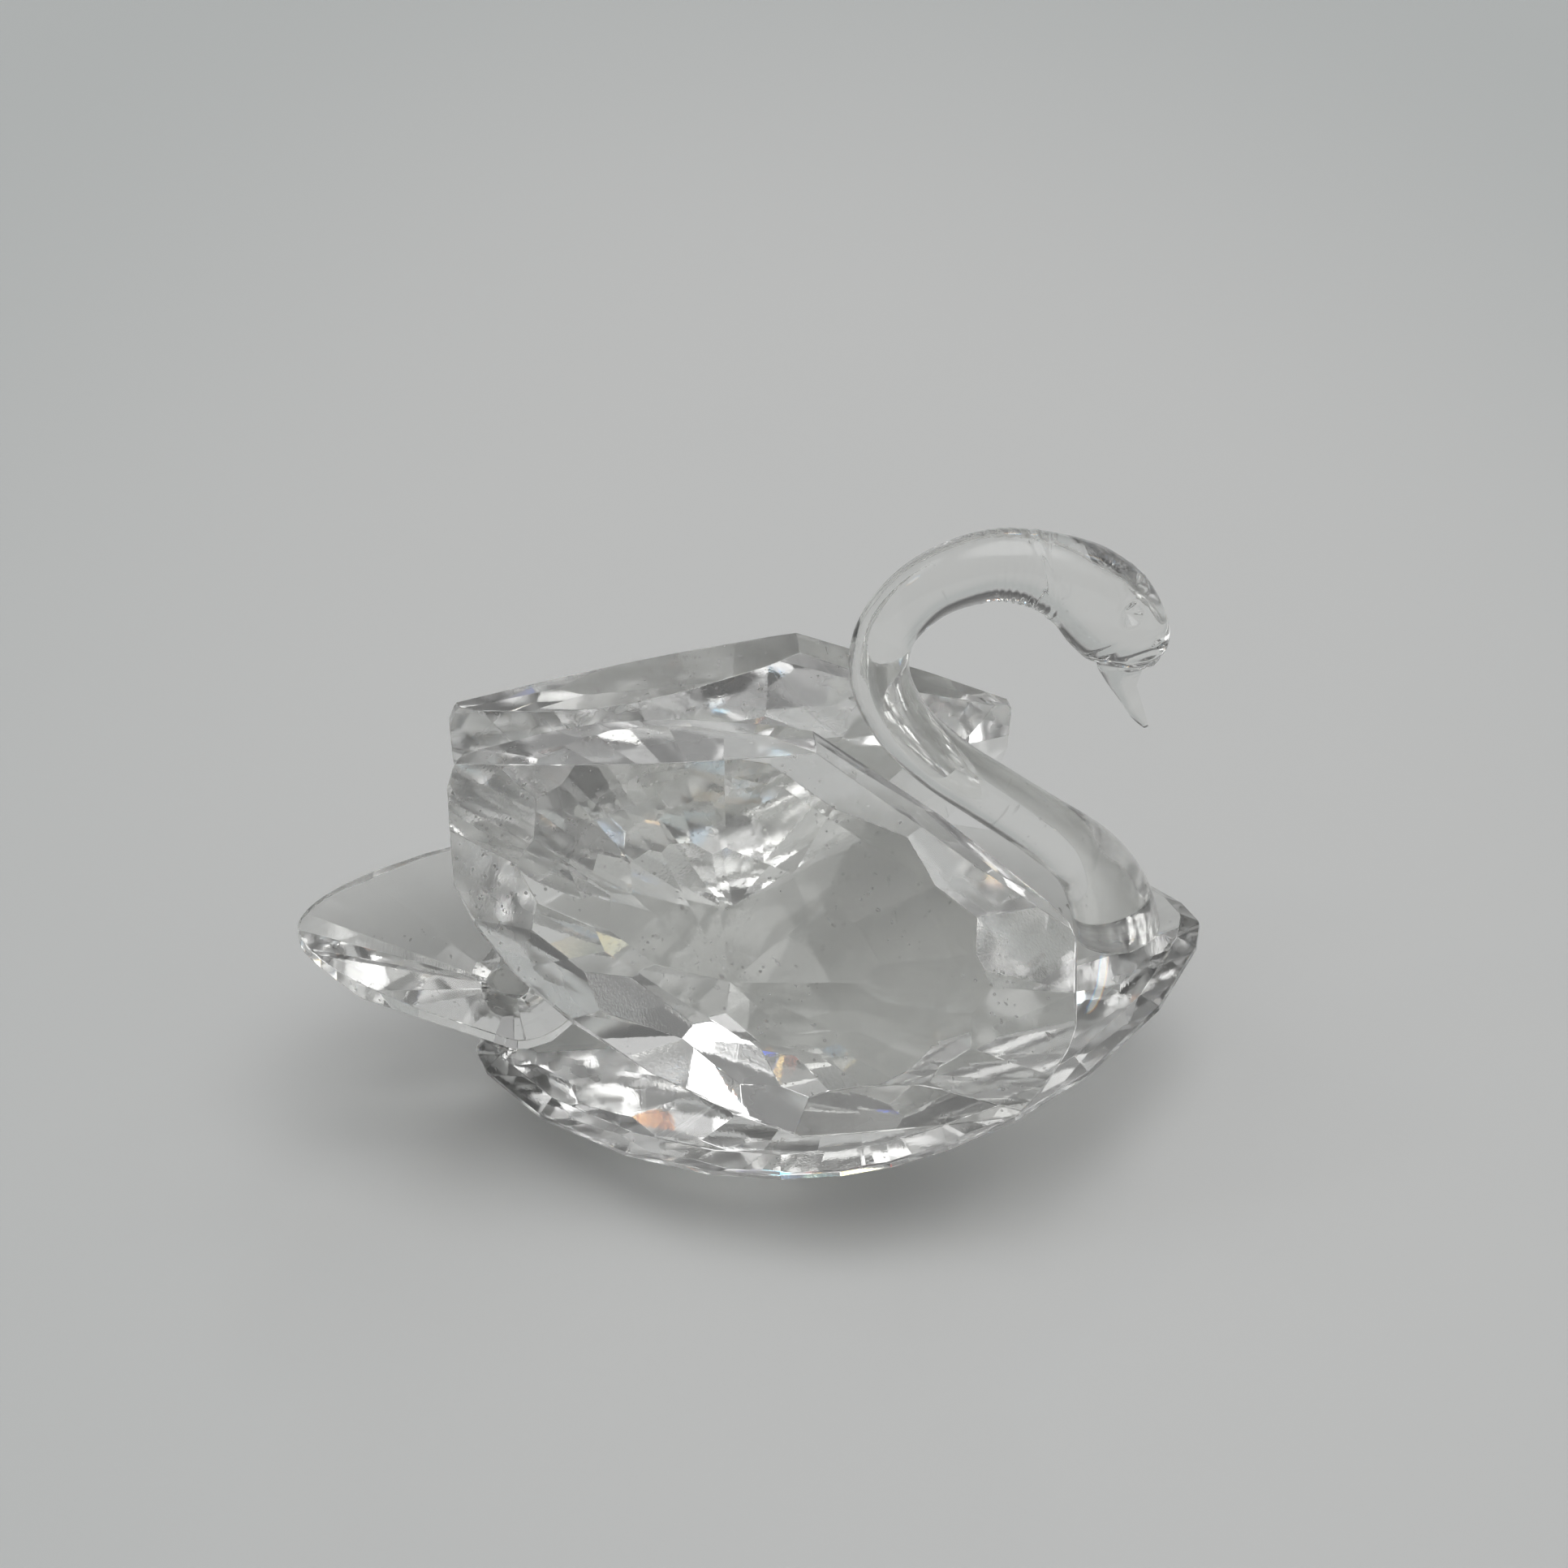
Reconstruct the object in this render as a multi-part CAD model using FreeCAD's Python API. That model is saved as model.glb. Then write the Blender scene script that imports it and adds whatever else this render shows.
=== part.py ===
"""Cut-crystal swan: four faceted stones and one drawn glass neck, glued together.

Millimetres. +X runs towards the breast, +Z is up, and the swan is symmetric about the XZ plane.
While it is being built, the girdle of the body stone is centred on X = 0. At the end everything
is moved so that the origin is under the middle of the whole swan, on the surface it stands on.
"""
import FreeCAD, Part
import math
import os

from FreeCAD import Vector

# Every row of facets is: how many, shift in facets, share of the outline it touches, the level
# where it touches it and the level of the apex that the row aims at. Levels are from the girdle.

# ---- body stone: a boat-shaped brilliant, table up, bow raised -------------------------------
BODY_HALF_LENGTH = 31.6
BODY_HALF_WIDTH = 22.2
BODY_BOW_POWER = 1.92
BODY_FLARE_POWER = 0.75
BODY_GIRDLE_HEIGHT = 9.5
BODY_PITCH = 8.8
BODY_TABLE = 1.45
BODY_GIRDLE = 0.25
BODY_FACETS = 28
BODY_CROWN_APEX = 24.0
BODY_PAVILION = (
    (28, 0.0, 1.00, -0.25, -17.0),
    (28, 0.5, 0.80, -3.35, -12.8),
    (14, 0.0, 0.52, -6.50, -11.8),
)

# ---- wing stones: thick tilted ovals, cut off flat along the top ------------------------------
WING_HALF_LENGTH = 26.4
WING_HALF_HEIGHT = 16.3
WING_ROUNDNESS = 2.3
WING_TILT = -27.0
WING_CENTRE = (-4.0, -12.9)
WING_LEAN = 20.0
WING_TOE_OUT = 9.5
WING_SHOULDER = Vector(-2.8, -9.1, 40.5)
WING_TABLE = 1.3
WING_GIRDLE_FACETS = 40
WING_CROWN = (12, 0.5, 1.00, 0.35, 2.6)
WING_CULET = (-3.0, -8.6)
WING_PAVILION = (
    (18, 0.5, 1.00, -0.35, -19.0),
    (18, 0.0, 0.86, -4.20, -12.6),
    (9, 0.5, 0.50, -7.90, -11.4),
)
WING_BACK_SLOPE = 4.8
WING_FRONT_SLOPE = 33.4
WING_REAR_END = 31.3
WING_FRONT_END = 16.8
WING_GAP = 0.15

# ---- tail stone: a flat-topped leaf, narrow end to the rear -----------------------------------
TAIL_TIP = Vector(-44.9, 0.0, 19.6)
TAIL_SWEEP = 18.0
TAIL_NOSE = 7.0
TAIL_HALF_WIDTH = 13.9
TAIL_TIP_POWER = 0.55
TAIL_PITCH = 5.5
TAIL_RIM = 0.9
TAIL_GIRDLE_FACETS = 56
TAIL_PAVILION = (14, 0.5, 1.00, 0.0, -12.6)

# ---- neck and head: one drawn rod, bent forward over the breast -------------------------------
# Each station is X, Z, half the thickness along the bend, half the thickness across it.
NECK_STATIONS = (
    (24.4, 11.0, 3.75, 3.75),
    (24.0, 14.8, 3.70, 3.70),
    (22.8, 18.8, 3.45, 3.45),
    (20.7, 22.4, 3.00, 3.00),
    (16.9, 25.9, 2.65, 2.65),
    (12.6, 29.4, 2.52, 2.52),
    (8.7, 32.6, 2.48, 2.48),
    (5.3, 36.4, 2.45, 2.45),
    (3.3, 40.4, 2.42, 2.42),
    (3.0, 44.0, 2.38, 2.38),
    (4.2, 47.1, 2.40, 2.40),
    (7.2, 49.9, 2.58, 2.55),
    (11.6, 51.3, 2.82, 2.75),
    (15.4, 50.7, 3.05, 2.95),
    (18.5, 49.1, 3.62, 3.20),
    (20.7, 46.9, 3.95, 3.35),
    (22.3, 44.5, 3.66, 3.05),
    (22.5, 43.3, 3.15, 2.72),
    (22.3, 42.0, 2.10, 1.92),
    (22.7, 40.2, 1.36, 1.36),
    (23.5, 38.4, 1.02, 1.06),
    (24.1, 37.0, 0.78, 0.84),
    (24.8, 35.6, 0.32, 0.40),
)

NECK_SECTION_POINTS = 12

ADHESIVE = 0.1
FAR = 200.0
UPRIGHT = 1e6
SAMPLES = 240
TINY = 1e-6
FLUSH = 1e-4


# ---- convex stones ----------------------------------------------------------------------------
def box_faces(reach):
    """The six faces of a large cube, each as a loop of corners seen from outside."""
    low, high = -reach, reach
    corner = [Vector(x, y, z) for z in (low, high) for y in (low, high) for x in (low, high)]
    loops = ((0, 2, 3, 1), (4, 5, 7, 6), (0, 1, 5, 4), (2, 6, 7, 3), (0, 4, 6, 2), (1, 3, 7, 5))
    return [[corner[i] for i in loop] for loop in loops]


def sorted_loop(points, normal):
    """The different points of a flat cut, in order round their middle."""
    distinct = []
    for point in points:
        if all(point.distanceToPoint(other) > TINY for other in distinct):
            distinct.append(point)
    middle = sum(distinct, Vector()) * (1.0 / len(distinct))
    across = (distinct[0] - middle).normalize()
    along = normal.cross(across)

    def turn(point):
        arm = point - middle
        return math.atan2(arm.dot(along), arm.dot(across))

    return sorted(distinct, key=turn)


def cut_by_plane(faces, normal, offset):
    """Keep what lies behind the plane where point . normal = offset, and close the cut."""
    kept = []
    rim = []
    for face in faces:
        loop = []
        for here, after in zip(face, face[1:] + face[:1]):
            over_here = normal.dot(here) - offset
            over_after = normal.dot(after) - offset
            if over_here <= TINY:
                loop.append(here)
            if min(over_here, over_after) < -TINY and max(over_here, over_after) > TINY:
                crossing = here + (after - here) * (over_here / (over_here - over_after))
                loop.append(crossing)
                rim.append(crossing)
            if abs(over_here) <= TINY:
                rim.append(here)
        if len(loop) > 2 and max(offset - normal.dot(point) for point in loop) > TINY:
            kept.append(loop)
    if len(rim) > 2:
        kept.append(sorted_loop(rim, normal))
    return kept


def stone(planes):
    """The solid that all the half-spaces share."""
    faces = box_faces(FAR)
    for normal, offset in planes:
        faces = cut_by_plane(faces, normal, offset)
    shell = Part.makeShell([Part.Face(Part.makePolygon(loop + loop[:1])) for loop in faces])
    shell.sewShape()
    solid = Part.makeSolid(shell)
    if solid.Volume < 0:
        solid.reverse()
    return solid


# ---- outlines in the plane of a stone's table -------------------------------------------------
def body_outline(turn):
    share = abs(math.cos(turn)) ** BODY_BOW_POWER
    width = BODY_HALF_WIDTH * max(0.0, 1.0 - share) ** BODY_FLARE_POWER
    return BODY_HALF_LENGTH * math.cos(turn), math.copysign(width, math.sin(turn))


def wing_outline(turn):
    power = 2.0 / WING_ROUNDNESS
    along = WING_HALF_LENGTH * math.copysign(abs(math.cos(turn)) ** power, math.cos(turn))
    across = WING_HALF_HEIGHT * math.copysign(abs(math.sin(turn)) ** power, math.sin(turn))
    tilt = math.radians(WING_TILT)
    return (along * math.cos(tilt) - across * math.sin(tilt),
            along * math.sin(tilt) + across * math.cos(tilt))


def tail_outline(turn):
    """Widest at 0; the tip lies TAIL_SWEEP behind it and the nose TAIL_NOSE before it."""
    if math.cos(turn) < 0:
        reach = 1.0 - abs(math.cos(turn))
        width = reach ** TAIL_TIP_POWER
        return -TAIL_SWEEP * (1.0 - reach), math.copysign(TAIL_HALF_WIDTH * width, math.sin(turn))
    return TAIL_NOSE * math.cos(turn), TAIL_HALF_WIDTH * math.sin(turn)


class Setting:
    """Where a stone's table lies: a middle, two axes in the table and one out of it."""

    def __init__(self, middle, along, up, outline, proportions):
        self.middle = middle
        self.along = along
        self.across = up.cross(along)
        self.up = up
        self.proportions = proportions
        turns = [2.0 * math.pi * i / SAMPLES for i in range(SAMPLES)]
        self.outline = [outline(turn) for turn in turns]

    def flat(self, level, facing=1):
        """A facet parallel to the table, at a level above the girdle's middle."""
        point = self.middle + self.up * level
        normal = self.up * facing
        return normal, normal.dot(point)

    def row(self, count, shift, scale, level, apex, culet=(0.0, 0.0)):
        """Facets that hold the scaled outline's tangents at one level and share one apex.

        The apex is above or below the culet, and the outline is scaled about it too.
        """
        planes = []
        for i in range(count):
            turn = 2.0 * math.pi * (i + shift) / count
            side = Vector(math.cos(turn) / self.proportions[0],
                          math.sin(turn) / self.proportions[1], 0.0).normalize()
            aside = culet[0] * side.x + culet[1] * side.y
            reach = max(x * side.x + y * side.y for x, y in self.outline)
            run = scale * (reach - aside)
            outward = self.along * side.x + self.across * side.y
            point = self.middle + outward * (aside + run) + self.up * level
            rise = apex - level
            normal = (outward * abs(rise) + self.up * math.copysign(run, rise)).normalize()
            planes.append((normal, normal.dot(point)))
        return planes

    def girdle(self, count, shift):
        """Upright facets round the outline."""
        return self.row(count, shift, 1.0, 0.0, UPRIGHT)

    def rows(self, table, culet=(0.0, 0.0)):
        """Several rows of facets, one after another."""
        return [plane for line in table for plane in self.row(*line, culet)]


def body_setting():
    pitch = math.radians(BODY_PITCH)
    along = Vector(math.cos(pitch), 0.0, math.sin(pitch))
    up = Vector(-math.sin(pitch), 0.0, math.cos(pitch))
    middle = Vector(0.0, 0.0, BODY_GIRDLE_HEIGHT)
    return Setting(middle, along, up, body_outline, (BODY_HALF_LENGTH, BODY_HALF_WIDTH))


def glue_plane(clearance):
    """The half-space above the body's table: everything glued on is ground flat to it."""
    body = body_setting()
    normal, offset = body.flat(BODY_TABLE + clearance)
    return normal * -1.0, -offset


def make_body():
    body = body_setting()
    planes = [body.flat(BODY_TABLE)]
    planes += body.girdle(BODY_FACETS, 0.0)
    planes += body.row(BODY_FACETS, 0.0, 1.0, BODY_GIRDLE, BODY_CROWN_APEX)
    planes += body.rows(BODY_PAVILION)
    planes.append((Vector(0.0, 0.0, -1.0), 0.0))
    return stone(planes)


def wing_setting():
    """The right wing, whose table faces outwards to -Y and a little up."""
    toe = math.radians(WING_TOE_OUT)
    lean = math.radians(WING_LEAN)
    out = Vector(-math.sin(toe) * math.cos(lean), -math.cos(toe) * math.cos(lean), math.sin(lean))
    along = Vector(math.cos(toe), -math.sin(toe), 0.0)
    across = out.cross(along)
    middle = WING_SHOULDER + along * WING_CENTRE[0] + across * WING_CENTRE[1] - out * WING_TABLE
    return Setting(middle, along, out, wing_outline, (WING_HALF_LENGTH, WING_HALF_HEIGHT))


def shoulder_cut(slope):
    """One of the two flat cuts along the top of a wing, both through its shoulder."""
    pitch = math.radians(slope)
    normal = Vector(math.sin(pitch), 0.0, math.cos(pitch))
    return normal, normal.dot(WING_SHOULDER)


def make_right_wing():
    wing = wing_setting()
    planes = [wing.flat(WING_TABLE)]
    planes += wing.girdle(WING_GIRDLE_FACETS, 0.0)
    planes += wing.row(*WING_CROWN)
    planes += wing.rows(WING_PAVILION, WING_CULET)
    planes.append(shoulder_cut(-WING_BACK_SLOPE))
    planes.append(shoulder_cut(WING_FRONT_SLOPE))
    planes.append((Vector(-1.0, 0.0, 0.0), WING_REAR_END))
    planes.append((Vector(1.0, 0.0, 0.0), WING_FRONT_END))
    planes.append((Vector(0.0, 1.0, 0.0), -WING_GAP))
    planes.append(glue_plane(ADHESIVE))
    return stone(planes)


def make_tail():
    pitch = math.radians(-TAIL_PITCH)
    along = Vector(math.cos(pitch), 0.0, math.sin(pitch))
    up = Vector(-math.sin(pitch), 0.0, math.cos(pitch))
    middle = TAIL_TIP + along * TAIL_SWEEP - up * TAIL_RIM
    tail = Setting(middle, along, up, tail_outline, (TAIL_HALF_WIDTH, TAIL_HALF_WIDTH))
    planes = [tail.flat(TAIL_RIM)]
    planes += tail.girdle(TAIL_GIRDLE_FACETS, 0.0)
    planes += tail.row(*TAIL_PAVILION)
    planes.append(glue_plane(ADHESIVE))
    return stone(planes)


# ---- the drawn glass neck ---------------------------------------------------------------------
def neck_section(index):
    """The oval section of one station, square to the line between its neighbours."""
    x, z, thick, wide = NECK_STATIONS[index]
    before = NECK_STATIONS[max(index - 1, 0)]
    after = NECK_STATIONS[min(index + 1, len(NECK_STATIONS) - 1)]
    run = Vector(after[0] - before[0], 0.0, after[1] - before[1]).normalize()
    bend = Vector(0.0, 1.0, 0.0).cross(run)
    points = []
    for i in range(NECK_SECTION_POINTS):
        turn = 2.0 * math.pi * i / NECK_SECTION_POINTS
        points.append(Vector(x, 0.0, z) + bend * (thick * math.cos(turn))
                      + Vector(0.0, wide * math.sin(turn), 0.0))
    curve = Part.BSplineCurve()
    curve.interpolate(points, PeriodicFlag=True)
    return Part.Wire(curve.toShape())


def make_neck():
    sections = [neck_section(i) for i in range(len(NECK_STATIONS))]
    rod = Part.makeLoft(sections, True, False)
    normal, offset = glue_plane(ADHESIVE)
    return rod.common(half_space(normal, offset))


def half_space(normal, offset):
    """A large block that fills the space behind a plane."""
    block = Part.makeBox(FAR, FAR, FAR, Vector(-FAR / 2, -FAR / 2, -FAR))
    block.Placement = FreeCAD.Placement(normal * offset, FreeCAD.Rotation(Vector(0, 0, 1), normal))
    return block


# ---- adhesive ---------------------------------------------------------------------------------
def make_film(glued):
    """The thin clear film that fills the gap under a glued stone, over the same footprint."""
    normal, offset = glue_plane(ADHESIVE)
    for face in glued.Faces:
        flush = abs(normal.dot(face.CenterOfMass) - offset) < FLUSH
        level = face.normalAt(0, 0).cross(normal).Length < FLUSH
        if flush and level:
            return face.extrude(normal * ADHESIVE)
    raise ValueError("the piece has no foot on the body")


def mirrored(shape):
    return shape.mirror(Vector(0.0, 0.0, 0.0), Vector(0.0, 1.0, 0.0))


def main():
    right_wing = make_right_wing()
    tail = make_tail()
    neck = make_neck()
    film = make_film(right_wing)
    nodes = {
        "body_stone": make_body(),
        "right_wing": right_wing,
        "left_wing": mirrored(right_wing),
        "tail": tail,
        "neck_and_head": neck,
        "right_wing_adhesive": film,
        "left_wing_adhesive": mirrored(film),
        "tail_adhesive": make_film(tail),
        "neck_adhesive": make_film(neck),
    }
    whole = Part.makeCompound(list(nodes.values())).BoundBox
    shift = Vector(-(whole.XMin + whole.XMax) / 2, -(whole.YMin + whole.YMax) / 2, -whole.ZMin)
    os.makedirs("parts", exist_ok=True)
    for name, shape in nodes.items():
        shape.translate(shift)
        shape.exportStep("parts/" + name + ".step")
        print(name, round(shape.Volume, 2), "mm3,", len(shape.Faces), "faces, valid:", shape.isValid())
    print("size", round(whole.XLength, 2), round(whole.YLength, 2), round(whole.ZLength, 2))
    print("shift", shift)


main()
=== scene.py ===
import math

import bmesh
import bpy
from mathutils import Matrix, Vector
from mathutils.geometry import delaunay_2d_cdt


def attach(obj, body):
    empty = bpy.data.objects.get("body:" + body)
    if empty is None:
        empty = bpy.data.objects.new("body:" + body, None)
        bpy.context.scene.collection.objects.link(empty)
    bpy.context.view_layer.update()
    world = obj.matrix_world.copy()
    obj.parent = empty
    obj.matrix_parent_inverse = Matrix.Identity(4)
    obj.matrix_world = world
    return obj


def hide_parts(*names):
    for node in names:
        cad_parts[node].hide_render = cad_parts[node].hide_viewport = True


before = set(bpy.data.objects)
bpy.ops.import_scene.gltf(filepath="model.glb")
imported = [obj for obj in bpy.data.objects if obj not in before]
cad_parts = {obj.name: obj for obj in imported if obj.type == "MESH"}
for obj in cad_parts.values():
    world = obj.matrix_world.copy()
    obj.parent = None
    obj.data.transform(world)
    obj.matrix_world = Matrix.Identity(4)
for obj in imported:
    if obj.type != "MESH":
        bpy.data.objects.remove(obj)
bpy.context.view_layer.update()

MM = 0.001
Y = Vector((0, 1, 0))

# The stones, in mm: the width polished off each edge that turns by more than SHARP, the thickness of
# the adhesive under a piece, and a block larger than any stone.
EDGE_WIDTH = 0.07
SHARP = math.radians(7)
SHORTEST_EDGE = 0.3
GLUE = 0.1
BLOCK = 200.0
CRYSTAL_IOR = 1.56

# How near counts as the same, as a cosine or in mm.
SAME_FACING = 0.999998
FACING = 0.9999
SAME_LEVEL = 0.01
ON_TABLE = 0.02
ON_PLANE = 1e-7
SAME_POINT = 1e-5
WELD = 1e-3


# ---- facets of the cut stones -------------------------------------------------------------------
def facets_of(node):
    """The different flat facets of a convex CAD stone, each as an outward normal and an offset in mm."""
    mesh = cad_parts[node].data
    found = []
    for face in mesh.polygons:
        normal = face.normal.copy()
        offset = normal.dot(face.center) / MM
        for known in found:
            if known[0].dot(normal) > SAME_FACING and abs(known[1] - offset) < SAME_LEVEL:
                known[2] += face.area / MM ** 2
                break
        else:
            found.append([normal, offset, face.area / MM ** 2])
    return found


def sliced(faces, normal, offset):
    """The closed convex body of face loops that is left behind a plane."""
    nx, ny, nz = normal
    kept, rim = [], []
    touched = False
    for face in faces:
        over = [nx * p[0] + ny * p[1] + nz * p[2] - offset for p in face]
        if max(over) <= ON_PLANE:
            kept.append(face)
            continue
        touched = True
        loop = []
        for i, here in enumerate(face):
            j = (i + 1) % len(face)
            if over[i] <= ON_PLANE:
                loop.append(here)
            if min(over[i], over[j]) < -ON_PLANE and max(over[i], over[j]) > ON_PLANE:
                share = over[i] / (over[i] - over[j])
                crossing = tuple(a + (b - a) * share for a, b in zip(here, face[j]))
                loop.append(crossing)
                rim.append(crossing)
            if abs(over[i]) <= ON_PLANE:
                rim.append(here)
        if len(loop) > 2 and min(over) < -ON_PLANE:
            kept.append(loop)
    if touched and len(rim) > 2:
        kept.append(round_loop(rim, normal))
    return kept


def round_loop(points, normal):
    """The different points of a cut in order round their middle."""
    distinct = []
    for p in points:
        if all(math.dist(p, q) > SAME_POINT for q in distinct):
            distinct.append(p)
    middle = [sum(p[k] for p in distinct) / len(distinct) for k in range(3)]
    first = Vector([distinct[0][k] - middle[k] for k in range(3)]).normalized()
    second = Vector(normal).cross(first)

    def turn(p):
        arm = Vector([p[k] - middle[k] for k in range(3)])
        return math.atan2(arm.dot(second), arm.dot(first))

    return sorted(distinct, key=turn)


def big_cube(reach):
    """The six faces of a cube round the origin, each as a loop of corners."""
    c = [(x, y, z) for z in (-reach, reach) for y in (-reach, reach) for x in (-reach, reach)]
    loops = ((0, 2, 3, 1), (4, 5, 7, 6), (0, 1, 5, 4), (2, 6, 7, 3), (0, 4, 6, 2), (1, 3, 7, 5))
    return [[c[i] for i in loop] for loop in loops]


def edges_of(faces, planes):
    """Each edge of a convex body as its two facets' normals, its length and one end of it."""
    seen = {}
    for index, face in enumerate(faces):
        for a, b in zip(face, face[1:] + face[:1]):
            key = tuple(sorted((tuple(round(v, 3) for v in a), tuple(round(v, 3) for v in b))))
            seen.setdefault(key, []).append((index, a, b))
    pairs = []
    for key, uses in seen.items():
        if len(uses) == 2 and key[0] != key[1]:
            (one, a, b), (two, _, _) = uses
            pairs.append((planes[one], planes[two], (Vector(b) - Vector(a)).length, Vector(a)))
    return pairs


def normal_of(face):
    """The outward normal of a flat face loop."""
    total = Vector()
    for a, b in zip(face, face[1:] + face[:1]):
        total += Vector(a).cross(Vector(b))
    return total.normalized()


def cut_stone(node):
    """The stone cut anew from its facets, with every facet edge polished off a little."""
    faces = big_cube(BLOCK)
    for normal, offset, _ in facets_of(node):
        faces = sliced(faces, tuple(normal), offset)
    softened = []
    for one, two, length, end in edges_of(faces, [normal_of(face) for face in faces]):
        turn = one.angle(two)
        if turn > SHARP and length > SHORTEST_EDGE:
            depth = 0.5 * EDGE_WIDTH * math.tan(min(turn, 2.0) / 2)
            normal = (one + two).normalized()
            softened.append((normal, normal.dot(end) - depth))
    for normal, offset in softened:
        faces = sliced(faces, tuple(normal), offset)
    bm = bmesh.new()
    made = {}
    for face in faces:
        corners = []
        for p in face:
            key = tuple(round(2 * v / WELD) for v in p)
            if key not in made:
                made[key] = bm.verts.new(p)
            if made[key] not in corners:
                corners.append(made[key])
        if len(corners) > 2 and bm.faces.get(corners) is None:
            bm.faces.new(corners)
    bmesh.ops.remove_doubles(bm, verts=bm.verts[:], dist=WELD)
    bmesh.ops.recalc_face_normals(bm, faces=bm.faces[:])
    return bm


def slice_off(bm, normal, offset):
    """Cuts away what lies beyond the plane and closes the cut."""
    geom = bm.verts[:] + bm.edges[:] + bm.faces[:]
    cut = bmesh.ops.bisect_plane(bm, geom=geom, dist=SAME_POINT, plane_co=normal * offset,
                                 plane_no=normal, clear_outer=True)
    rim = [e for e in cut["geom_cut"] if isinstance(e, bmesh.types.BMEdge)]
    bmesh.ops.edgeloop_fill(bm, edges=[e for e in rim if e.is_valid and e.is_boundary])


# The body's table is its largest facet that faces upwards. Its own two axes are table_x and Y.
table_up, table_level, _ = max((f for f in facets_of("body_stone") if f[0].z > 0.9), key=lambda f: f[2])
table_x = Y.cross(table_up).normalized()


def on_table(point):
    """A point of the table in the table's own two axes."""
    return Vector((table_x.dot(point), Y.dot(point)))


def off_table(spot):
    """The point in space of a spot on the table."""
    return table_x * spot.x + Y * spot.y + table_up * table_level


def footprint(node, inset=0.03):
    """The outline of an adhesive film on the body's table, in the table's own two axes."""
    spots = []
    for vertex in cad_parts[node].data.vertices:
        point = vertex.co / MM
        if abs(table_up.dot(point) - table_level) < ON_TABLE:
            spot = on_table(point)
            if all((spot - other).length > ON_TABLE for other in spots):
                spots.append(spot)
    middle = sum(spots, Vector((0, 0))) / len(spots)
    spots.sort(key=lambda s: math.atan2(s.y - middle.y, s.x - middle.x))
    return [s + (middle - s).normalized() * inset for s in spots]


def inside(spot, loop):
    """Whether a spot lies in a convex loop that runs anticlockwise."""
    ends = loop[1:] + loop[:1]
    return all((b - a).x * (spot - a).y - (b - a).y * (spot - a).x > 0 for a, b in zip(loop, ends))


def within(loop, outline, clear=0.12):
    """The part of a convex loop that lies inside a convex outline and clear of its edge."""
    for a, b in zip(outline, outline[1:] + outline[:1]):
        inward = Vector((a.y - b.y, b.x - a.x)).normalized()
        level = inward.dot(a) + clear
        kept = []
        for here, after in zip(loop, loop[1:] + loop[:1]):
            over, over_after = inward.dot(here) - level, inward.dot(after) - level
            if over >= 0:
                kept.append(here)
            if over * over_after < 0:
                kept.append(here.lerp(after, over / (over - over_after)))
        loop = kept
    return loop


def mark_contact(bm, level, facing):
    """The facet that lies flat on the glue gets the second material."""
    on_glue = [f for f in bm.faces if f.normal.dot(facing) > FACING
               and abs(facing.dot(f.calc_center_median()) - level) < ON_TABLE]
    max(on_glue, key=lambda f: f.calc_area()).material_index = 1


def split_table(bm, loops):
    """Divides the body's table along the footprints of the pieces glued to it."""
    top = max((f for f in bm.faces if f.normal.dot(table_up) > FACING), key=lambda f: f.calc_area())
    corners = list(top.verts)
    spots = [on_table(v.co) for v in corners]
    area = sum(a.x * b.y - a.y * b.x for a, b in zip(spots, spots[1:] + spots[:1]))
    if area < 0:
        corners.reverse()
        spots.reverse()
    rings = [list(range(len(spots)))]
    loops = [within(loop, list(spots)) for loop in loops]
    for loop in loops:
        rings.append(list(range(len(spots), len(spots) + len(loop))))
        spots += loop
    edges = [(ring[i], ring[(i + 1) % len(ring)]) for ring in rings for i in range(len(ring))]
    placed, _, pieces, origins, _, _ = delaunay_2d_cdt(spots, edges, [], 1, 1e-6)
    verts = []
    for spot, origin in zip(placed, origins):
        known = [i for i in origin if i < len(corners)]
        verts.append(corners[known[0]] if known else bm.verts.new(off_table(spot)))
    bmesh.ops.delete(bm, geom=[top], context="FACES_ONLY")
    for piece in pieces:
        face = bm.faces.new([verts[i] for i in piece])
        centre = sum((placed[i] for i in piece), Vector((0, 0))) / len(piece)
        face.material_index = 1 if any(inside(centre, loop) for loop in loops) else 0
    bmesh.ops.recalc_face_normals(bm, faces=bm.faces[:])


def piece_from(bm, name, node, materials, smooth=False):
    """Scales a mesh from mm to metres and hands it over in place of its CAD node."""
    bmesh.ops.scale(bm, vec=(MM, MM, MM), verts=bm.verts[:])
    mesh = bpy.data.meshes.new(name)
    bm.to_mesh(mesh)
    bm.free()
    for face in mesh.polygons:
        face.use_smooth = smooth
    for material in materials:
        mesh.materials.append(material)
    ob = bpy.data.objects.new(name, mesh)
    bpy.context.scene.collection.objects.link(ob)
    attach(ob, "root")
    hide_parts(node)
    return ob


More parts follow.
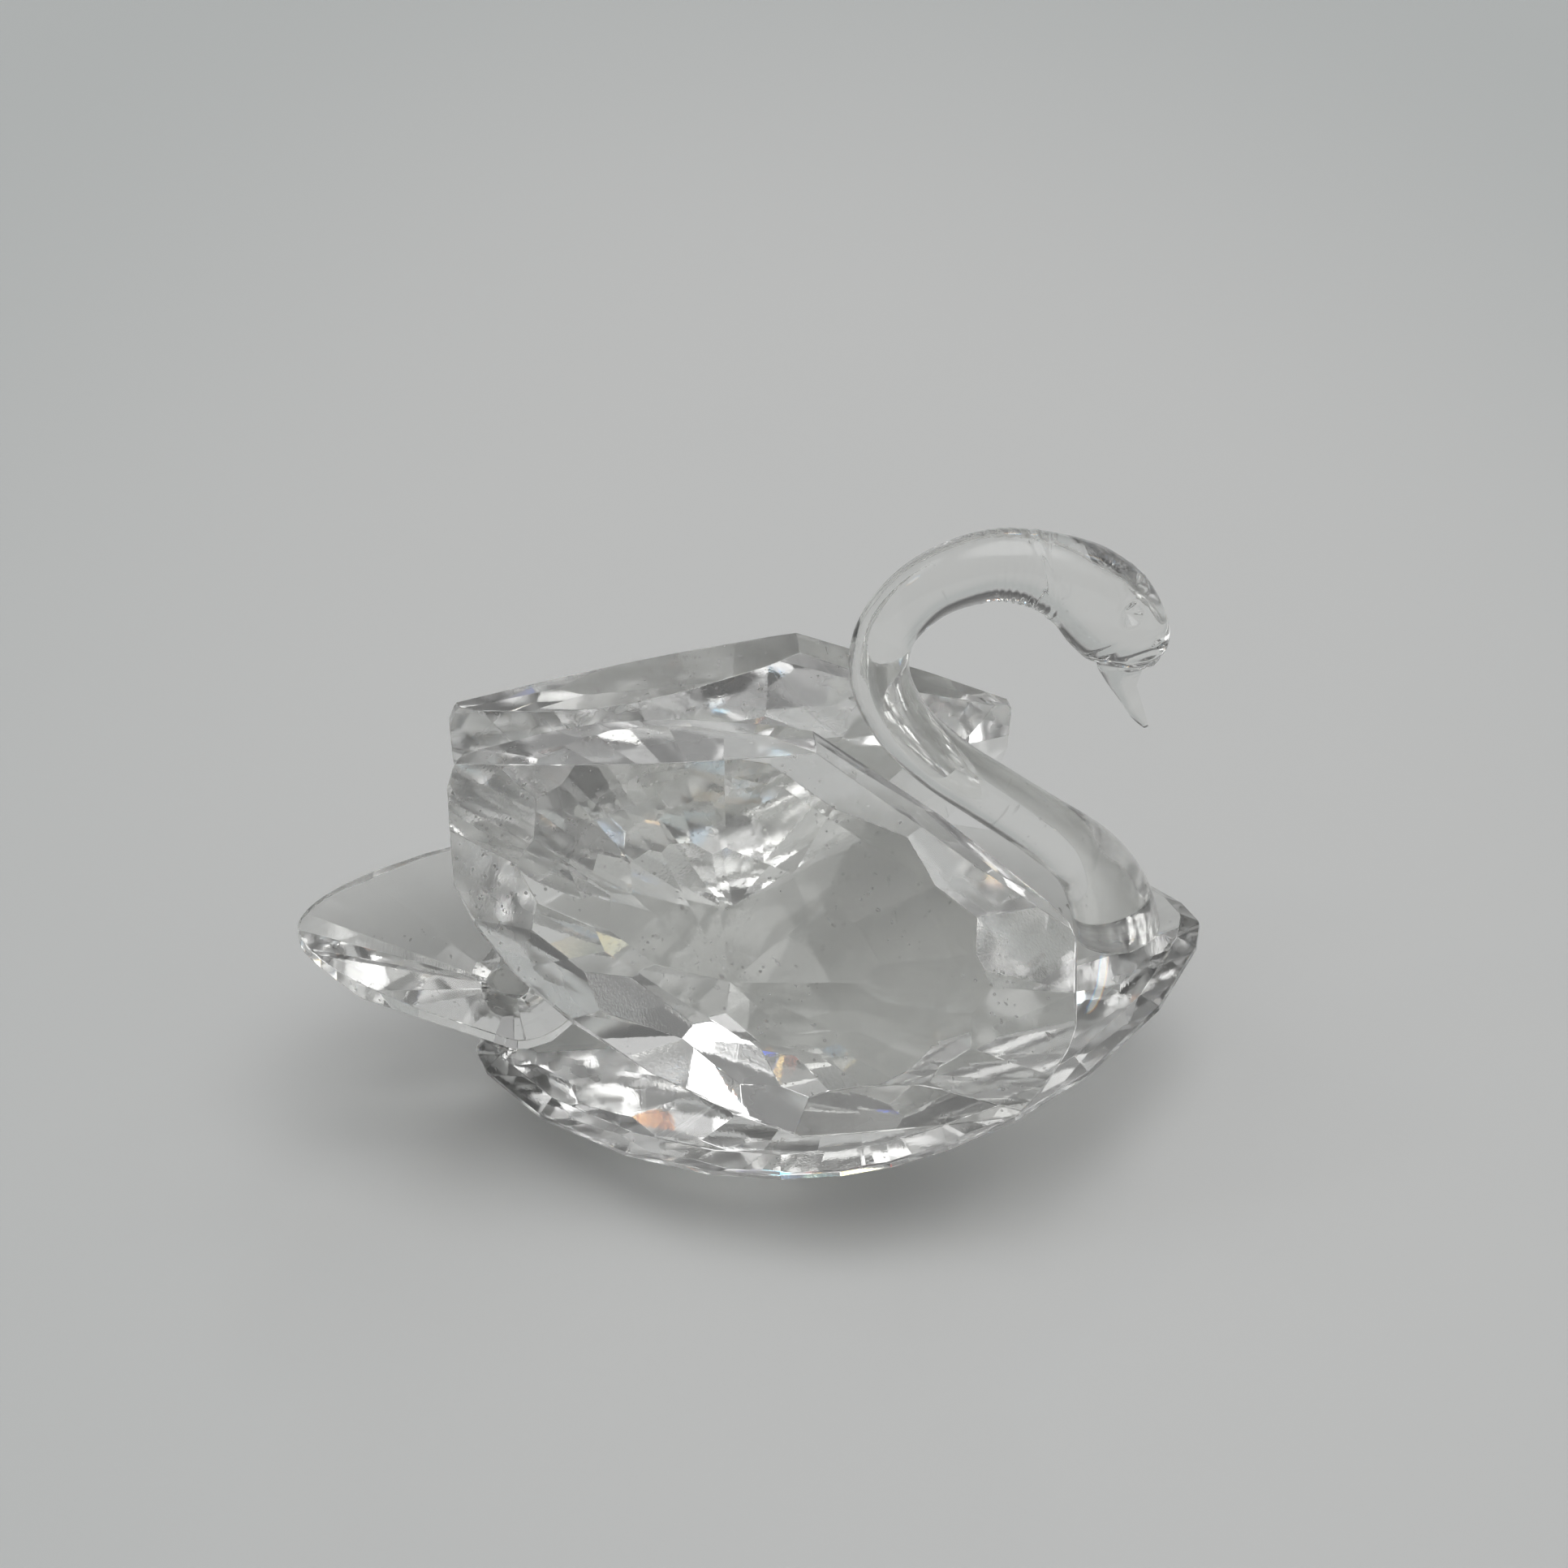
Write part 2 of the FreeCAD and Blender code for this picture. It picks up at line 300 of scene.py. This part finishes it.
# ---- materials --------------------------------------------------------------------------------
class Nodes:
    """A short way of writing a node tree."""

    def __init__(self, owner):
        owner.use_nodes = True
        self.tree = owner.node_tree
        self.tree.nodes.clear()

    def add(self, kind, **inputs):
        """A new node, with the named inputs and properties set or linked."""
        node = self.tree.nodes.new(kind)
        for key, value in inputs.items():
            if hasattr(node, key) and key not in node.inputs:
                setattr(node, key, value)
            else:
                self.set(node.inputs[key], value)
        return node

    def set(self, socket, value):
        """Links a socket to another one or gives it a value."""
        if isinstance(value, bpy.types.NodeSocket):
            self.tree.links.new(value, socket)
        else:
            socket.default_value = value

    def math(self, operation, a, b=0.0, clamp=False):
        """The output of a Math node."""
        node = self.tree.nodes.new("ShaderNodeMath")
        node.operation = operation
        node.use_clamp = clamp
        self.set(node.inputs[0], a)
        self.set(node.inputs[1], b)
        return node.outputs[0]

    def between(self, value, low, high, out_low=0.0, out_high=1.0):
        """A smooth step from out_low to out_high as the value goes from low to high."""
        node = self.tree.nodes.new("ShaderNodeMapRange")
        node.interpolation_type = "SMOOTHSTEP"
        self.set(node.inputs["Value"], value)
        limits = {"From Min": low, "From Max": high, "To Min": out_low, "To Max": out_high}
        for key, number in limits.items():
            node.inputs[key].default_value = number
        return node.outputs[0]

    def mix(self, factor, a, b):
        """A mix of two colours."""
        node = self.tree.nodes.new("ShaderNodeMix")
        node.data_type = "RGBA"
        self.set(node.inputs["Factor"], factor)
        self.set([s for s in node.inputs if s.name == "A" and s.type == "RGBA"][0], a)
        self.set([s for s in node.inputs if s.name == "B" and s.type == "RGBA"][0], b)
        return [s for s in node.outputs if s.type == "RGBA"][0]

    def scaled(self, coordinates, scale, turn=(0, 0, 0)):
        """Coordinates stretched along their axes and turned."""
        node = self.tree.nodes.new("ShaderNodeMapping")
        self.set(node.inputs["Vector"], coordinates)
        node.inputs["Scale"].default_value = scale
        node.inputs["Rotation"].default_value = turn
        return node.outputs[0]

    def noise(self, vector, scale, detail=2.0, rough=0.5):
        """Cloudy noise from 0 to 1."""
        node = self.tree.nodes.new("ShaderNodeTexNoise")
        self.set(node.inputs["Vector"], vector)
        node.inputs["Scale"].default_value = scale
        node.inputs["Detail"].default_value = detail
        node.inputs["Roughness"].default_value = rough
        return node.outputs["Fac"]

    def cells(self, vector, scale):
        """The distance to the nearest of many scattered points."""
        node = self.tree.nodes.new("ShaderNodeTexVoronoi")
        self.set(node.inputs["Vector"], vector)
        node.inputs["Scale"].default_value = scale
        return node.outputs["Distance"]

    def finish(self, kind, shader):
        """The output node, fed by the last shader."""
        out = self.add(kind)
        self.set(out.inputs["Surface"], shader.outputs[0])


def new_material(name):
    """An empty material, its node tree and its object coordinates."""
    material = bpy.data.materials.new(name)
    n = Nodes(material)
    return material, n, n.add("ShaderNodeTexCoord").outputs["Object"]


CLEAR, CURED, DUST_COLOUR = (0.992, 0.994, 0.982, 1), (0.97, 0.97, 0.94, 1), (0.22, 0.21, 0.20, 1)


def crystal(name, dust=1.0, tint=CLEAR):
    """Polished colourless crystal with a little dust, lint and fine handling scratches on it."""
    material, n, place = new_material(name)
    patches = n.between(n.noise(place, 90, 4), 0.50, 0.66)
    specks = n.between(n.cells(place, 1300), 0.22, 0.13)
    specks = n.math("MULTIPLY", specks, n.between(n.noise(place, 420, 2), 0.52, 0.60))
    lint = n.between(n.noise(n.scaled(place, (1700, 330, 1700), (0.3, 0.5, 0.9)), 1.0, 1), 0.72, 0.76)
    grime = n.math("MULTIPLY", n.math("MAXIMUM", specks, lint), patches, True)
    grime = n.math("MULTIPLY", grime, 0.75 * dust)
    haze = n.math("MULTIPLY", n.between(n.noise(place, 70, 4, 0.6), 0.30, 0.75), 0.06 * dust)
    solid = n.math("MAXIMUM", grime, haze)
    colour = n.mix(grime, tint, DUST_COLOUR)
    scratches = n.noise(n.scaled(place, (5200, 260, 5200), (0.8, 0.2, 0.4)), 1.0, 2)
    scratched = n.add("ShaderNodeBump", Strength=0.02, Distance=0.0001, Height=scratches)
    shader = n.add("ShaderNodeBsdfPrincipled", IOR=CRYSTAL_IOR, Normal=scratched.outputs[0])
    n.set(shader.inputs["Base Color"], colour)
    n.set(shader.inputs["Roughness"], n.math("MULTIPLY", grime, 0.5))
    n.set(shader.inputs["Transmission Weight"], n.math("SUBTRACT", 1.0, solid, True))
    n.finish("ShaderNodeOutputMaterial", shader)
    return material


def contact(name, milk):
    """Glass wetted by adhesive. Light goes straight on, but for trapped bubbles and a little milk."""
    material, n, place = new_material(name)
    bubbles = n.between(n.cells(place, 1500), 0.16, 0.10)
    bubbles = n.math("MULTIPLY", bubbles, n.between(n.noise(place, 300), 0.58, 0.64))
    shader = n.add("ShaderNodeBsdfPrincipled", IOR=1.0, Roughness=0.0)
    n.set(shader.inputs["Base Color"], n.mix(bubbles, (0.99, 0.99, 0.985, 1), (0.8, 0.8, 0.8, 1)))
    cloud = n.math("MULTIPLY", n.between(n.noise(place, 350, 3), 0.3, 0.7, 0.4, 1.0), milk)
    solid = n.math("MAXIMUM", n.math("MULTIPLY", bubbles, 0.5), cloud)
    n.set(shader.inputs["Transmission Weight"], n.math("SUBTRACT", 1.0, solid, True))
    n.finish("ShaderNodeOutputMaterial", shader)
    return material


cut_crystal = crystal("cut_crystal_polished")
drawn_crystal = crystal("drawn_crystal_polished", 0.35)
wetted = contact("wetted_glass", 0.03)
wetted_neck = contact("wetted_neck_glass", 0.5)
glue = crystal("clear_adhesive_cured", 0.5, CURED)

# ---- the stones -------------------------------------------------------------------------------
FILMS = ("right_wing_adhesive", "left_wing_adhesive", "tail_adhesive", "neck_adhesive")
feet = [footprint(node) for node in FILMS]

body = cut_stone("body_stone")
split_table(body, feet)
piece_from(body, "body_crystal", "body_stone", (cut_crystal, wetted))
for node in ("right_wing", "left_wing", "tail"):
    bm = cut_stone(node)
    mark_contact(bm, -(table_level + GLUE), -table_up)
    piece_from(bm, node + "_crystal", node, (cut_crystal, wetted))

for node, loop in zip(FILMS, feet):
    bm = bmesh.new()
    low = [bm.verts.new(off_table(s)) for s in loop]
    high = [bm.verts.new(off_table(s) + table_up * GLUE) for s in loop]
    bm.faces.new(list(reversed(low))).material_index = 1
    bm.faces.new(high).material_index = 1
    for i in range(len(loop)):
        j = (i + 1) % len(loop)
        bm.faces.new((low[i], low[j], high[j], high[i]))
    bmesh.ops.recalc_face_normals(bm, faces=bm.faces[:])
    piece_from(bm, node.replace("adhesive", "glue_film"), node, (glue, wetted))

# ---- the drawn neck and head ------------------------------------------------------------------
# X, Z, half the thickness along the bend, half the thickness across it, all in mm.
NECK = (
    (24.4, 11.0, 3.75, 3.75), (24.0, 14.8, 3.70, 3.70), (22.8, 18.8, 3.45, 3.45),
    (20.7, 22.4, 3.00, 3.00), (16.9, 25.9, 2.65, 2.65), (12.6, 29.4, 2.52, 2.52),
    (8.7, 32.6, 2.48, 2.48), (5.3, 36.4, 2.45, 2.45), (3.3, 40.4, 2.42, 2.42),
    (3.0, 44.0, 2.38, 2.38), (4.2, 47.1, 2.40, 2.40), (7.2, 49.9, 2.58, 2.55),
    (11.6, 51.3, 2.82, 2.75), (15.4, 50.7, 3.05, 2.95), (18.5, 49.1, 3.62, 3.20),
    (20.7, 46.9, 3.95, 3.35), (22.3, 44.5, 3.66, 3.05), (22.5, 43.3, 3.15, 2.72),
    (22.3, 42.0, 2.10, 1.92), (22.7, 40.2, 1.36, 1.36), (23.5, 38.4, 1.02, 1.06),
    (24.1, 37.0, 0.78, 0.84), (24.8, 35.6, 0.32, 0.40),
)
NECK_SHIFT = 6.863
AROUND = 96
# Only the face under the foot has more corners than this.
MANY_CORNERS = 20
# A place along the neck is counted in rows. Rings stand closer from HEAD_FROM on.
HEAD_FROM = 11
RINGS_ON_NECK, RINGS_ON_HEAD = 16, 34
# The joint ring between rod and head, the tool ripples, the crease above the bill, where the bill's
# front starts to be flat, and how far the relief fades out before the tip.
JOINT, RIPPLES, CREASE, FLAT_FRONT, FADE = 13.18, 12.5, 17.5, 18.4, 0.4
# Pressed hollows: place along the neck, turn in degrees from the outside of the bend, radius and
# depth in mm. They are the eyes, the small pits, the nostrils and the brow.
HOLLOWS = ((15.0, 62, 1.05, 0.90), (16.1, 52, 0.34, 0.26), (17.55, 50, 0.50, 0.45), (14.8, 18, 0.75, 0.40))


def station(s):
    """X, Z and the two half thicknesses at a place along the neck, by a smooth curve through the rows."""
    i = min(int(s), len(NECK) - 2)
    t = s - i
    a, b, c, d = [NECK[min(max(i + k, 0), len(NECK) - 1)] for k in (-1, 0, 1, 2)]
    return [0.5 * (2 * b[k] + (c[k] - a[k]) * t + (2 * a[k] - 5 * b[k] + 4 * c[k] - d[k]) * t ** 2
                   + (3 * b[k] - a[k] - 3 * c[k] + d[k]) * t ** 3) for k in range(4)]


def bump(distance, width):
    """A smooth hump, 1 high at a distance of 0."""
    return math.exp(-(distance / width) ** 2)


def neck_point(s, turn):
    """A point on the rod and the direction away from it. A turn of 0 is on the outside of the bend."""
    x, z, thick, wide = station(s)
    before, after = station(max(s - 0.02, 0)), station(min(s + 0.02, len(NECK) - 1))
    run = Vector((after[0] - before[0], 0, after[1] - before[1])).normalized()
    out = run.cross(Y)
    c, d = math.cos(turn), math.sin(turn)
    if s > FLAT_FRONT:
        c = min(c, 1 - 0.45 * min((s - FLAT_FRONT) / 0.8, 1.0))
    normal = (out * (c / thick) + Y * (d / wide)).normalized()
    return Vector((x + NECK_SHIFT, 0, z)) + out * (thick * c) + Y * (wide * d), normal


def relief(s, turn, point, hollows):
    """How far the surface stands proud of the plain rod, in mm."""
    c = math.cos(turn)
    joint = s - JOINT + 0.52 * c
    high = 0.055 * bump(joint, 0.05) - 0.05 * bump(joint + 0.13, 0.06)
    crimped = max(0.0, -c - 0.25) * bump(s - RIPPLES, 0.8)
    high += 0.09 * crimped * math.sin(30 * s + 2 * math.sin(3 * turn))
    high -= 0.30 * bump(s - CREASE + 0.5 * c, 0.10) * (0.25 + 0.75 * max(c, 0.0))
    high += 0.012 * math.sin(2.2 * s + 3 * turn) + 0.01 * math.sin(5.1 * s - 2 * turn)
    for centre, radius, depth in hollows:
        away = (point - centre).length / radius
        high -= depth * bump(away, 0.62) - 0.18 * depth * bump(away - 1.05, 0.22)
    return high


def build_neck():
    """The neck and head as one closed skin, its foot cut flat on the adhesive."""
    last = len(NECK) - 1
    places = [k / RINGS_ON_NECK for k in range(RINGS_ON_NECK * HEAD_FROM)]
    places += [HEAD_FROM + k / RINGS_ON_HEAD for k in range(RINGS_ON_HEAD * (last - HEAD_FROM) + 1)]
    hollows = [(neck_point(s, side * math.radians(turn))[0], radius, depth)
               for s, turn, radius, depth in HOLLOWS for side in (-1, 1)]
    bm = bmesh.new()
    verts = []
    for s in places:
        ring = []
        fade = min(1.0, (last - s) / FADE)
        for k in range(AROUND):
            turn = 2 * math.pi * k / AROUND
            point, normal = neck_point(s, turn)
            ring.append(bm.verts.new(point + normal * (relief(s, turn, point, hollows) * fade)))
        verts.append(ring)
    for one, two in zip(verts, verts[1:]):
        for k in range(AROUND):
            j = (k + 1) % AROUND
            bm.faces.new((one[k], one[j], two[j], two[k]))
    bm.faces.new(verts[0])
    tip = bm.verts.new(neck_point(last, 0)[0].lerp(neck_point(last, math.pi)[0], 0.5)
                       + Vector((0.03, 0, -0.12)))
    for k in range(AROUND):
        bm.faces.new((verts[-1][(k + 1) % AROUND], verts[-1][k], tip))
    bmesh.ops.recalc_face_normals(bm, faces=bm.faces[:])
    slice_off(bm, -table_up, -(table_level + GLUE))
    bmesh.ops.recalc_face_normals(bm, faces=bm.faces[:])
    for face in bm.faces:
        if len(face.verts) > MANY_CORNERS:
            face.material_index = 1
    return bm


neck = piece_from(build_neck(), "neck_and_head_crystal", "neck_and_head",
                  (drawn_crystal, wetted_neck), True)
for face in neck.data.polygons:
    if len(face.vertices) > MANY_CORNERS:
        face.use_smooth = False

# ---- floor, light and camera ------------------------------------------------------------------
# The floor's half side and how far it lies under the rest facet, in metres.
FLOOR_REACH, FLOOR_DROP = 8.0, 0.00004

bm = bmesh.new()
bmesh.ops.create_grid(bm, x_segments=2, y_segments=2, size=FLOOR_REACH)
bmesh.ops.translate(bm, vec=(0, 0, -FLOOR_DROP), verts=bm.verts[:])
mesh = bpy.data.meshes.new("floor")
bm.to_mesh(mesh)
bm.free()
floor = bpy.data.objects.new("floor", mesh)
bpy.context.scene.collection.objects.link(floor)

# A pale card, a little mottled, with painted shade: it is painted greyer away from the figurine, in place
# of the light's falloff.
card, n, place = new_material("floor_card")
reach = n.add("ShaderNodeVectorMath", operation="DISTANCE")
n.set(reach.inputs[0], n.scaled(place, (9.0, 5.0, 1.0)))
reach.inputs[1].default_value = (0.2, 0.3, 0)
tone = n.mix(n.noise(place, 9, 5), (0.665, 0.672, 0.665, 1), (0.69, 0.697, 0.69, 1))
# Painted shade: the card's colour darkens with distance from the figurine.
tone = n.mix(n.between(reach.outputs["Value"], 0.35, 1.5), tone, (0.58, 0.60, 0.595, 1))
shader = n.add("ShaderNodeBsdfPrincipled", Roughness=0.75)
n.set(shader.inputs["Base Color"], tone)
n.set(shader.inputs["Specular IOR Level"], 0.15)
n.finish("ShaderNodeOutputMaterial", shader)
mesh.materials.append(card)

world = bpy.data.worlds.new("studio")
bpy.context.scene.world = world
w = Nodes(world)
sky = w.add("ShaderNodeTexCoord").outputs["Generated"]


def toward(azimuth, elevation):
    """The direction of a place in the studio, the azimuth counted from +Y towards +X."""
    a, e = math.radians(azimuth), math.radians(elevation)
    return math.sin(a) * math.cos(e), math.cos(a) * math.cos(e), math.sin(e)


def patch(azimuth, elevation, wide, soft, level):
    """A round softbox (level above 0) or flag (below 0): its half-angle and the width of its soft rim."""
    dot = w.add("ShaderNodeVectorMath", operation="DOT_PRODUCT")
    w.set(dot.inputs[0], sky)
    dot.inputs[1].default_value = toward(azimuth, elevation)
    rim = math.cos(math.radians(wide + soft)), math.cos(math.radians(wide))
    return w.between(dot.outputs["Value"], rim[0], rim[1], 0.0, level)


# Azimuth, elevation, half-angle, soft rim and level of the softboxes and flags, and then of the
# small lamps. Each lamp's red and blue discs are shifted by FRINGE degrees, up by less than along,
# and the coloured rims stand for the fire that dispersion gives in the facets.
SOFT = ((140, 80, 18, 14, 1.9), (35, 52, 8, 4, 0.8), (-75, 48, 9, 5, 0.7), (180, 42, 13, 14, -0.10),
        (120, 38, 12, 8, 0.3))
LAMPS = ((-95, 38, 3.6, 2.4, 2.4), (15, 36, 3.0, 2.0, 3.2), (75, 44, 3.2, 2.4, 1.6))
FRINGE, FRINGE_UP = 0.8, 0.6
# The room's own level low down and overhead, what is added at the horizon so that the floor fades
# into it, and the darkest level that a flag leaves.
LOW, OVERHEAD, HORIZON, DARKEST = 0.10, 0.36, 0.32, 0.04

height = w.add("ShaderNodeSeparateXYZ")
w.set(height.inputs[0], sky)
glow = w.between(height.outputs["Z"], 0.12, 0.80, LOW, OVERHEAD)
glow = w.math("ADD", glow, w.between(height.outputs["Z"], 0.0, 0.12, HORIZON, 0.0))
for spec in SOFT:
    glow = w.math("ADD", glow, patch(*spec))
glow = w.math("MAXIMUM", glow, DARKEST)
light = w.add("ShaderNodeCombineColor")
for socket, shift in zip(light.inputs, (-FRINGE, 0.0, FRINGE)):
    level = glow
    for azimuth, elevation, *rest in LAMPS:
        level = w.math("ADD", level, patch(azimuth + shift, elevation + FRINGE_UP * shift, *rest))
    w.set(socket, level)
back = w.add("ShaderNodeBackground")
w.set(back.inputs["Color"], light.outputs[0])
w.finish("ShaderNodeOutputWorld", back)

# The camera's place in mm, and the azimuth and elevation that it looks from.
CAMERA_AT = Vector((-12.55, -169.66, 155.25))
CAMERA_FROM = (math.radians(-5), math.radians(36))
camera = bpy.data.cameras.new("camera")
camera.sensor_width = 36
camera.lens = 59.63
camera.clip_start = 0.005
view = bpy.data.objects.new("camera", camera)
bpy.context.scene.collection.objects.link(view)
azimuth, elevation = CAMERA_FROM
forward = Vector((-math.sin(azimuth) * math.cos(elevation), math.cos(azimuth) * math.cos(elevation),
                  -math.sin(elevation)))
view.location = CAMERA_AT * MM
view.rotation_euler = forward.to_track_quat("-Z", "Y").to_euler()
bpy.context.scene.camera = view

scene = bpy.context.scene
scene.view_settings.view_transform = "Standard"
scene.cycles.max_bounces = 24
scene.cycles.transmission_bounces = 24
scene.cycles.glossy_bounces = 12
scene.cycles.diffuse_bounces = 3
scene.cycles.transparent_max_bounces = 16
scene.cycles.caustics_refractive = True
scene.cycles.caustics_reflective = True
scene.cycles.blur_glossy = 0.3
scene.cycles.use_denoising = True
